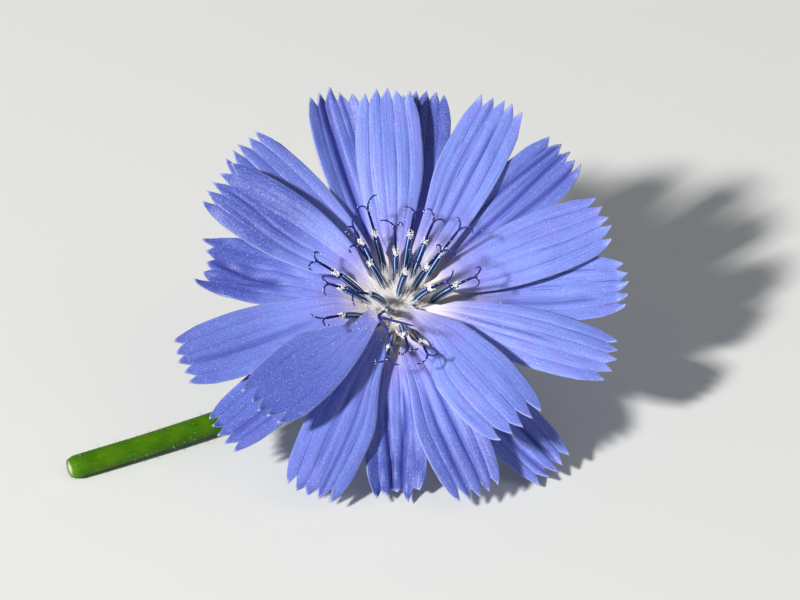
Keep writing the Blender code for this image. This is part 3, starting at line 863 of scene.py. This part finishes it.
def make_style(floret, forms):
    """The style with its branches and hairs, as one piece. Returns where it is hairy."""
    number = floret[0]
    thick = FALLEN_THICK if number in FALLEN_BRANCHES else BRANCH_THICK
    stem, branches = style_lines(floret, forms)
    dice = random.Random(300 + number)
    bm = bmesh.new()
    hairy = []
    for branch in branches:
        line = stem + branch[1:]
        rod = closed_rod(STYLE_SIDES, len(line) - 1)
        joined = (len(stem) - 1) / (len(line) - 1)

        def wide(share, angle):
            if share < joined:
                return STYLE_THICK - 0.01 * share
            past = (share - joined) / (1.0 - joined)
            return thick * (1.0 - 0.45 * past) * (1.0 - ramp((past - 0.9) / 0.1) * 0.7)

        lay_along(rod, line, wide, Vector((0.3, 0.9, 0.1)))
        join_in(bm, rod)
        hairy += line[3:]
    hair = bm.verts.layers.float.new("hair")
    for _ in range(STYLE_HAIRS):
        index = dice.randrange(len(hairy) - 1)
        way = any_way(dice)
        ahead = (hairy[index + 1] - hairy[index]).normalized()
        way = (way - ahead * (way.dot(ahead) - 0.5)).normalized()
        foot = hairy[index] + way * 0.07
        for vert in add_bristle(bm, foot, way, dice.uniform(0.06, 0.13), STYLE_HAIR_THICK):
            vert[hair] = 1.0
    growth(f"style_{number:02d}", bm, [style_violet], [f"anthers_{number:02d}"])
    return hairy


style_forms = random.Random(31)
hairy_lines = {row[0]: make_style(row, style_forms) for row in FLORETS}


# Pollen is pushed out at the top of each anther tube in a white clump. Single grains stick to the style
# and its branches, and lie on the ligules round the throat.
CLUMP_GRAINS = 110
CLUMP_REACH = (0.12, 0.29)
STRAY_GRAINS = 14
STRAY_REACH = 0.1
GRAIN = 0.062

pollen_white, tree, shader = new_material("pollen_white", 0.7)
bumps, clouds, _ = skin(tree, 0.03, 0.2)
colour = tint(tree, between(tree, clouds, 0.35, 0.65), (0.92, 0.91, 0.86), (0.74, 0.76, 0.82))
cover(tree, shader, colour, bumps, 0.5, 0.01)


def add_grain(bm, spot, radius):
    """One grain."""
    bmesh.ops.create_icosphere(bm, subdivisions=1, radius=radius, matrix=Matrix.Translation(spot))


for row in FLORETS:
    number = row[0]
    dice = random.Random(400 + number)
    path, _, _ = column_path(row)
    start = TUBE_END + dice.randint(-1, 3)
    bm = bmesh.new()
    for _ in range(CLUMP_GRAINS):
        spot = path[min(start + round(abs(dice.gauss(0.0, 1.5))), COLUMN_STEPS)]
        way = any_way(dice)
        add_grain(bm, spot + way * dice.uniform(*CLUMP_REACH), GRAIN * dice.uniform(0.7, 1.15))
    for _ in range(STRAY_GRAINS):
        spot = dice.choice(hairy_lines[number])
        add_grain(bm, spot + any_way(dice) * STRAY_REACH, GRAIN * dice.uniform(0.6, 0.9))
    growth(f"pollen_{number:02d}", bm, [pollen_white], [f"anthers_{number:02d}"])


# The ligule is the blue strap that each corolla tube opens into on its outer side. It is thinner than
# paper, grows out of the tube as a narrow pale trough, widens into five lengthwise lobes with violet
# grooves between them, and ends in five teeth with thin whitish tips.
CLAW_WIDTH = {OUTER: 1.2, INNER: 0.8, CENTRE: 2.0}
CLAW_DROP = 1.3
CLAW_RISE = 2.3
CLAW_BEND = 1.35
CLAW_TROUGH = 0.3
CLAW_LENGTH = {OUTER: 0.2, INNER: 1.0, CENTRE: 1.5}
CLAW_FLARE = 0.85
COLUMN_ROOM = 0.45
WIDEST = 0.66
END_WIDTH = 0.8
LOBES = 5
TOOTH_LENGTH = 1.25
END_ROUND = 0.55
EDGE_ROUND = 2.1
TOOTH_START = 0.7
TOOTH_RISE = 0.12
RIB_RELIEF = 0.038
RUFFLE = 0.30
LIGULE_WALL = 0.16
LIGULE_COLUMNS = 50
LIGULE_ROWS = 64
LIGULE_REACH = 20.0
FALLEN_GRAINS = 12
# Lengthwise folds of single ligules: across, start, end, depth, half width, and how far it wanders. The
# depth also sets how dark the painted shade in a fold's trough is
FOLDS = {
    2: ((0.27, 0.12, 1.1, 0.5, 0.15, 0.03), (-0.4, 0.3, 1.1, 0.16, 0.1, -0.05)),
    3: ((0.2, 0.2, 1.1, 0.15, 0.1, 0.0),),
    4: ((-0.2, 0.15, 0.95, 0.12, 0.08, 0.03), (0.3, 0.25, 1.1, 0.12, 0.08, 0.03)),
    5: ((-0.5, 0.2, 1.1, 0.2, 0.09, 0.06), (0.02, 0.15, 1.1, 0.26, 0.09, -0.05),
        (0.45, 0.25, 1.1, 0.2, 0.08, 0.05)),
    7: ((-0.3, 0.2, 0.9, 0.14, 0.09, 0.03),),
    8: ((0.1, 0.15, 0.7, 0.12, 0.08, 0.0),),
    10: ((0.25, 0.4, 1.1, 0.2, 0.1, 0.0), (-0.3, 0.5, 1.1, 0.16, 0.1, 0.0)),
    11: ((0.25, 0.2, 1.1, 0.16, 0.09, -0.04), (-0.3, 0.3, 1.1, 0.14, 0.09, 0.02)),
    12: ((0.3, 0.25, 1.1, 0.24, 0.1, 0.1), (-0.25, 0.3, 1.1, 0.24, 0.1, -0.1),
         (0.0, 0.6, 1.1, 0.2, 0.08, 0.2)),
    13: ((0.35, 0.25, 1.1, 0.15, 0.07, 0.0), (-0.12, 0.3, 0.9, 0.12, 0.08, 0.0)),
    15: ((0.3, 0.4, 1.0, 0.14, 0.08, 0.0),),
    16: ((0.1, 0.2, 1.0, 0.14, 0.1, 0.06),),
    17: ((0.0, 0.35, 1.1, 0.22, 0.12, 0.18), (0.45, 0.4, 1.0, 0.15, 0.1, -0.1)),
    18: ((0.12, 0.35, 0.98, 0.1, 0.06, 0.16), (-0.35, 0.45, 1.0, 0.09, 0.06, -0.12),
         (0.5, 0.3, 0.9, 0.07, 0.06, 0.1)),
    19: ((0.2, 0.3, 0.9, 0.12, 0.08, 0.0),),
}
# How far the five tooth tips of single ligules curl up, and how long they are
CURLS = {
    2: (0.1, 0.2, 0.7, 0.9, 0.3),
    5: (1.0, 0.1, 0.2, 0.1, 0.0),
    6: (0.9, 0.1, 0.2, 0.1, 0.1),
    7: (1.0, 0.8, 0.5, 0.2, 0.1),
    9: (0.2, 0.1, 0.15, 0.1, 0.2),
    12: (0.8, 0.3, 0.7, 0.2, 0.6),
    14: (0.3, 0.5, 0.4, 0.5, 0.3),
    15: (1.1, 1.0, 0.3, 0.1, 0.2),
    17: (0.2, 0.3, 0.1, 1.0, 0.6),
}
LENGTHS = {
    2: (0.55, 0.7, 1.0, 0.85, 0.9),
    6: (0.8, 1.0, 0.9, 0.85, 0.9),
    12: (1.15, 0.55, 0.2, 1.0, 0.4),
    15: (0.7, 0.75, 0.8, 0.9, 1.0),
    17: (1.1, 0.45, 0.2, 0.35, 1.05),
    18: (0.75, 0.85, 0.9, 0.95, 1.0),
}
# How much deeper a ligule's outer half is in colour, partly its own deeper blue and partly painted shade
# where neighbouring ligules shade it or it turns away from the light; and how far, in mm, its blue starts
# before the usual place
TONES_AND_PAINTED_SHADE = {
    2: 0.5, 3: 1.2, 5: 0.5, 8: 0.1, 9: 0.2, 10: 0.3, 11: 0.8, 12: 1.2, 13: 0.2, 14: 0.85, 15: 0.6, 16: 0.55,
    17: 1.4, 18: 1.9, 19: 0.6,
}
BLUE_START = {
    4: -0.5, 5: -0.7, 6: -1.0, 7: -1.0, 8: -0.7, 11: 1.2, 12: 0.8, 13: 2.6, 14: 3.6, 15: 1.0, 16: 1.0,
    17: 1.2, 18: 0.2, 19: 0.6,
}
# How crumpled, how much deeper notched and how strongly ribbed than usual single ligules are
CRUMPLED = {2: 0.15, 12: 0.3, 17: 0.3, 18: 0.1}
NOTCHED = {9: 1.5, 10: 1.2, 11: 1.15, 13: 1.15, 14: 1.2, 18: 1.2, 19: 1.2}
RIBBED = {6: 0.85, 8: 0.8, 9: 0.55, 14: 0.7, 16: 0.85, 17: 0.7, 18: 0.5, 19: 0.75}
# How far the two edges of single ligules are bent up, and which edge is drawn in near the throat, and by
# how much
EDGE_LIFTS = {
    3: (0.0, -0.5), 4: (-0.5, 0.0), 5: (0.0, 0.75), 6: (-0.4, 0.0), 7: (0.0, 0.35), 14: (0.0, 0.9),
    18: (1.0, 0.0), 19: (0.0, -0.3),
}
DRAWN_IN = {1: (-1.0, 0.2), 4: (1.0, 0.35), 11: (-1.0, 0.4), 13: (1.0, 0.45)}


def blade_width(ring, distance, span, width):
    """A ligule's width at a distance from its tube: narrow at the tube, widest past the middle."""
    claw = CLAW_LENGTH[ring]
    widest = claw + (span - claw) * WIDEST
    if distance < widest:
        opened = math.sin(0.5 * math.pi * max(distance - claw, 0.0) / (widest - claw))
        return CLAW_WIDTH[ring] + (width - CLAW_WIDTH[ring]) * opened**CLAW_FLARE
    beyond = (distance - widest) / (span - widest)
    return width * (1.0 - (1.0 - END_WIDTH) * beyond**2)


def middle_height(distance, slope):
    """How high a ligule's middle line is over its foot."""
    return CLAW_RISE * (1.0 - math.exp(-distance / CLAW_BEND)) + slope * distance


def passing_columns(floret, foot, way, slope):
    """Where the anther tubes and styles of other florets come up past a ligule: how far along and aside."""
    side = Vector((-way.y, way.x, 0.0))
    found = []
    for other in FLORETS:
        if other is floret:
            continue
        before = -1.0
        for spot in column_path(other)[0]:
            along, aside = (spot - foot).dot(way), (spot - foot).dot(side)
            above = spot.z - foot.z - middle_height(max(along, 0.0), slope)
            if before < 0.0 <= above < 1.2 and along > 0.0:
                found.append((along, aside))
            before = above
    return found


def half_width(wanted, distance, t, passing):
    """Half the width on one side, drawn in where a column passes."""
    allowed = wanted
    for along, aside in passing:
        if aside * t > 0.0:
            clear = abs(aside) - COLUMN_ROOM + 0.6 * max(abs(distance - along) - 0.8, 0.0)
            allowed = min(allowed, max(clear, 0.3))
    return allowed


def ligule_point(floret, span, way, foot, t, share, teeth, passing):
    """One point of a ligule, with what its material reads there: painted shade in folds, tip and distance.
    """
    number, ring, rise, width, roll, arch = floret[:2] + floret[7:]
    side = Vector((-way.y, way.x, 0.0))
    slope = math.tan(math.radians(rise))
    lengths, curls, bends, notches = teeth
    lobe = min(int((t + 1.0) * 0.5 * LOBES), LOBES - 1)
    within = (t + 1.0) * 0.5 * LOBES - lobe
    pointed = 1.0 - abs(2.0 * within - 1.0)
    outer_half = (lobe == 0 and within < 0.5) or (lobe == LOBES - 1 and within > 0.5)
    tooth = math.sin(0.5 * math.pi * pointed) ** 0.8 if outer_half else pointed**0.9
    at_end = max(share - TOOTH_START, 0.0) / (1.0 - TOOTH_START)
    depth = EDGE_ROUND if outer_half else TOOTH_LENGTH * notches[lobe + (within > 0.5)]
    notch = depth * (1.0 - tooth) + (1.0 - lengths[lobe]) * TOOTH_LENGTH * tooth
    distance = span * share - (notch + END_ROUND * t * t) * at_end
    height = middle_height(distance, slope)
    steep = CLAW_RISE / CLAW_BEND * math.exp(-distance / CLAW_BEND) + slope
    upward = Vector((-way.x * steep, -way.y * steep, 1.0)).normalized()
    half = 0.5 * blade_width(ring, distance, span, width)
    opened = ramp((half * 2.0 - CLAW_WIDTH[ring]) / (width - CLAW_WIDTH[ring]))
    drawn_side, drawn = DRAWN_IN.get(number, (0.0, 0.0))
    if drawn_side * t > 0.0:
        half -= (half - 0.5 * CLAW_WIDTH[ring]) * drawn * ramp((0.6 - share) / 0.35)
    lift = arch * (t * t - 0.35) * opened
    lift += math.tan(math.radians(roll)) * half * t * opened
    lift += EDGE_LIFTS.get(number, (0.0, 0.0))[t > 0.0] * ramp(abs(t)) * opened
    rib = 1.0 + 1.3 * noise.noise(Vector((lobe * 3.3, distance * 0.3, number * 2.3)))
    lift += RIB_RELIEF * RIBBED.get(number, 1.0) * rib * (1.0 - 2.0 * (1.0 - pointed) ** 3) * opened
    lift += CLAW_TROUGH * t * t * (1.0 - ramp(distance / 3.4))
    rough = Vector((distance * 0.16, t * 0.8, number * 5.1))
    lift += RUFFLE * noise.noise(rough) * opened
    lift += CRUMPLED.get(number, 0.05) * noise.noise(rough * 3.3) * opened * share
    past = ramp((distance - (span - TOOTH_LENGTH - 0.5)) / (TOOTH_LENGTH + 0.5))
    lift += (curls[lobe] * pointed + TOOTH_RISE) * past * past
    # The trough of each fold is darkened in colour too: painted shade, deeper where the fold is deeper
    fold_shade = 0.0
    for place, start, end, depth, wide, wander in FOLDS.get(number, ()):
        line = place + wander * math.sin(6.0 * share + number)
        much = math.exp(-(((t - line) / wide) ** 2))
        much *= ramp((share - start) / 0.2) * ramp((end - share) / 0.12)
        lift -= depth * much * opened
        fold_shade = max(fold_shade, much * min(depth * 4.5, 1.0))
    swing = bends[lobe] * past * pointed
    spot = foot + way * distance + Vector((0.0, 0.0, height)) + upward * lift
    spot += side * (half_width(half, distance, t, passing) * t + swing)
    left = span - (1.0 - lengths[lobe]) * TOOTH_LENGTH - END_ROUND * t * t - distance
    tip = max(ramp(1.0 - left / 0.4), 0.6 * ramp((share - 0.985) / 0.015))
    tip = max(tip, 0.7 * ramp((abs(t) - 0.95) / 0.05) * ramp(share * 3.0))
    return spot, fold_shade, tip, distance


ligule_face, tree, shader = new_material("ligule_blue", 0.46)
across, along = sheet_place(tree)
distance = reading(tree, "distance")
bumps, clouds, painted_glints = skin(tree, 0.11, 2.6)
grooves, streaks = lines(tree, across, along, reading(tree, "piece"), LOBES, 50.0)
outward = shades(
    tree, math_node(tree, "DIVIDE", distance, LIGULE_REACH),
    ((0.0, (0.87, 0.87, 0.70)), (0.06, (0.74, 0.70, 0.69)), (0.12, (0.52, 0.47, 0.68)),
     (0.19, (0.27, 0.26, 0.66)), (0.3, (0.185, 0.235, 0.72)), (0.45, (0.155, 0.225, 0.68)),
     (0.65, (0.13, 0.195, 0.63)), (0.85, (0.12, 0.175, 0.58))),
)
body = between(tree, distance, 1.5, 5.0)
grooved = times(tree, times(tree, body, 0.9), reading(tree, "ribbed"))
colour = coats(
    tree, outward,
    (times(tree, between(tree, streaks, 0.50, 0.72, 0.0, 0.5), body), (0.23, 0.30, 0.74)),
    (times(tree, between(tree, streaks, 0.46, 0.30, 0.0, 0.5), body), (0.08, 0.10, 0.46)),
    (between(tree, clouds, 0.42, 0.7, 0.0, 0.4), (0.20, 0.17, 0.62)),
    # Deeper tone of the outer half: partly the ligule's own colour, partly painted shade
    (times(tree, reading(tree, "tone_and_painted_shade"), between(tree, distance, 5.0, 15.0)), (0.05, 0.075, 0.37)),
    (between(tree, bumps, 0.5, 0.85, 0.0, 0.22), (0.32, 0.40, 0.82)),
    # Painted glints of light on the papillae
    (times(tree, painted_glints, 0.55), (0.62, 0.68, 0.95)),
    (times(tree, grooves, grooved), (0.045, 0.04, 0.36)),
    # Painted shade in the troughs of folds
    (times(tree, reading(tree, "fold_shade"), 0.85), (0.03, 0.035, 0.27)),
    (times(tree, reading(tree, "tip"), 0.6), (0.52, 0.58, 0.80)),
)
relief = math_node(tree, "MULTIPLY_ADD", streaks, 1.6, bumps)
relief = math_node(tree, "MULTIPLY_ADD", grooves, -0.9, relief)
cover(tree, shader, colour, relief, 0.6, 0.035)

ligule_back, tree, shader = new_material("ligule_back", 0.6)
across, along = sheet_place(tree)
bumps, _, _ = skin(tree, 0.11, 2.6)
grooves, streaks = lines(tree, across, along, reading(tree, "piece"), LOBES, 34.0)
outward = shades(
    tree, math_node(tree, "DIVIDE", reading(tree, "distance"), LIGULE_REACH),
    ((0.0, (0.78, 0.78, 0.70)), (0.2, (0.62, 0.62, 0.85)), (0.5, (0.30, 0.36, 0.76)),
     (1.0, (0.25, 0.31, 0.72))),
)
colour = coats(
    tree, outward,
    (between(tree, streaks, 0.46, 0.30, 0.0, 0.5), (0.22, 0.23, 0.70)),
    (times(tree, grooves, 0.5), (0.58, 0.62, 0.86)),
    (times(tree, reading(tree, "tip"), 0.6), (0.66, 0.70, 0.90)),
)
cover(tree, shader, colour, math_node(tree, "MULTIPLY_ADD", streaks, 2.0, bumps), 0.5, 0.035)


def make_ligule(floret):
    """One strap, drawn as a fine sheet and given its thin wall."""
    number, _, _, _, tip_azimuth, reach = floret[:6]
    foot = mouth(floret) - Vector((0.0, 0.0, CLAW_DROP))
    tip_spot = polar(reach, tip_azimuth)
    way = Vector((tip_spot.x - foot.x, tip_spot.y - foot.y, 0.0))
    span = way.length
    way.normalize()
    dice = random.Random(100 + number)
    lengths = list(LENGTHS.get(number) or [dice.uniform(0.8, 1.0) for _ in range(LOBES)])
    curls = CURLS.get(number) or [dice.uniform(-0.12, 0.4) for _ in range(LOBES)]
    bends = [dice.uniform(-0.16, 0.16) for _ in range(LOBES)]
    ends = [lengths[0]] + lengths + [lengths[-1]]
    notches = [
        NOTCHED.get(number, 1.0) * (dice.uniform(0.62, 1.0) + 0.35 * (2.0 - a - b))
        for a, b in zip(ends, ends[1:])
    ]
    teeth = lengths, curls, bends, notches
    passing = passing_columns(floret, foot, way, math.tan(math.radians(floret[7])))
    bm = fine_sheet(LIGULE_COLUMNS, LIGULE_ROWS)
    paint(bm, "piece", lambda vert: float(number))
    # The deeper tone, partly painted shade, on every point of the ligule
    paint(bm, "tone_and_painted_shade", lambda vert: TONES_AND_PAINTED_SHADE.get(number, 0.0))
    paint(bm, "ribbed", lambda vert: RIBBED.get(number, 1.0))
    fold_shade_layer, tips, distances = (bm.verts.layers.float.new(name) for name in ("fold_shade", "tip", "distance"))
    for vert in bm.verts:
        t, share = vert.co.x, 0.5 * (vert.co.y + 1.0)
        spot, fold_shade, tip, distance = ligule_point(floret, span, way, foot, t, share, teeth, passing)
        vert.co = spot
        vert[fold_shade_layer], vert[tips] = fold_shade, tip
        vert[distances] = distance + BLUE_START.get(number, 0.0) * ramp(distance / 3.0)
    bm.normal_update()
    if sum(face.normal.z for face in bm.faces) < 0.0:
        bmesh.ops.reverse_faces(bm, faces=bm.faces[:])
        bm.normal_update()
    near_throat = [vert for vert in bm.verts if 1.5 < vert[distances] < 7.5]
    for vert in dice.sample(near_throat, FALLEN_GRAINS):
        spot = vert.co + vert.normal * (0.5 * LIGULE_WALL + 0.6 * GRAIN)
        add_grain(fallen, spot, GRAIN * dice.uniform(0.45, 0.85))
    name = f"ligule_{number:02d}"
    piece = growth(name, bm, [ligule_face, ligule_back], [f"floret_{number:02d}"])
    wall = piece.modifiers.new("thin wall", "SOLIDIFY")
    wall.thickness = LIGULE_WALL * MM
    wall.offset = 0.0
    wall.material_offset = 1
    wall.material_offset_rim = 0


fallen = bmesh.new()
for row in FLORETS:
    make_ligule(row)
growth("fallen_pollen", fallen, [pollen_white], [])


# The flower is seen lying on a plain pale floor, in sun from the left and above, with a weak light from the
# right in its shadows.
floor_mesh = bpy.data.meshes.new("floor")
bm = bmesh.new()
bmesh.ops.create_grid(bm, x_segments=1, y_segments=1, size=1.5)
bm.to_mesh(floor_mesh)
bm.free()
floor = bpy.data.objects.new("floor", floor_mesh)
bpy.context.scene.collection.objects.link(floor)
floor_pale, tree, shader = new_material("floor_pale", 0.8)
shader.inputs["Base Color"].default_value = (0.73, 0.74, 0.73, 1.0)
floor_mesh.materials.append(floor_pale)

world = bpy.data.worlds.new("studio")
bpy.context.scene.world = world
world.use_nodes = True
sky = world.node_tree.nodes["Background"]
sky.inputs["Color"].default_value = (0.93, 0.96, 1.0, 1.0)
sky.inputs["Strength"].default_value = 0.2


def square_lamp(name, spot, size, power, colour):
    """A square lamp that faces the head."""
    lamp = bpy.data.lights.new(name, "AREA")
    lamp.size = size
    lamp.energy = power
    lamp.color = colour
    made = bpy.data.objects.new(name, lamp)
    made.location = spot
    made.rotation_euler = (Vector((0.0, 0.0, 0.012)) - Vector(spot)).to_track_quat("-Z", "Y").to_euler()
    bpy.context.scene.collection.objects.link(made)


square_lamp("key", (-0.68, -0.73, 0.71), 0.11, 21.6, (1.0, 0.98, 0.94))
square_lamp("fill", (0.9, -0.3, 1.05), 1.2, 2.2, (0.92, 0.95, 1.0))

bpy.context.scene.view_settings.view_transform = "Standard"

camera_data = bpy.data.cameras.new("camera")
camera_data.lens = 213.0
camera_data.clip_start = 0.01
camera = bpy.data.objects.new("camera", camera_data)
aim = Vector((0.0043, 0.0, 0.01145))
view_height = math.radians(33.0)
view_distance = 0.4
camera.location = aim + Vector((0.0, -math.cos(view_height), math.sin(view_height))) * view_distance
camera.rotation_euler = (math.radians(90.0) - view_height, 0.0, 0.0)
bpy.context.scene.collection.objects.link(camera)
bpy.context.scene.camera = camera
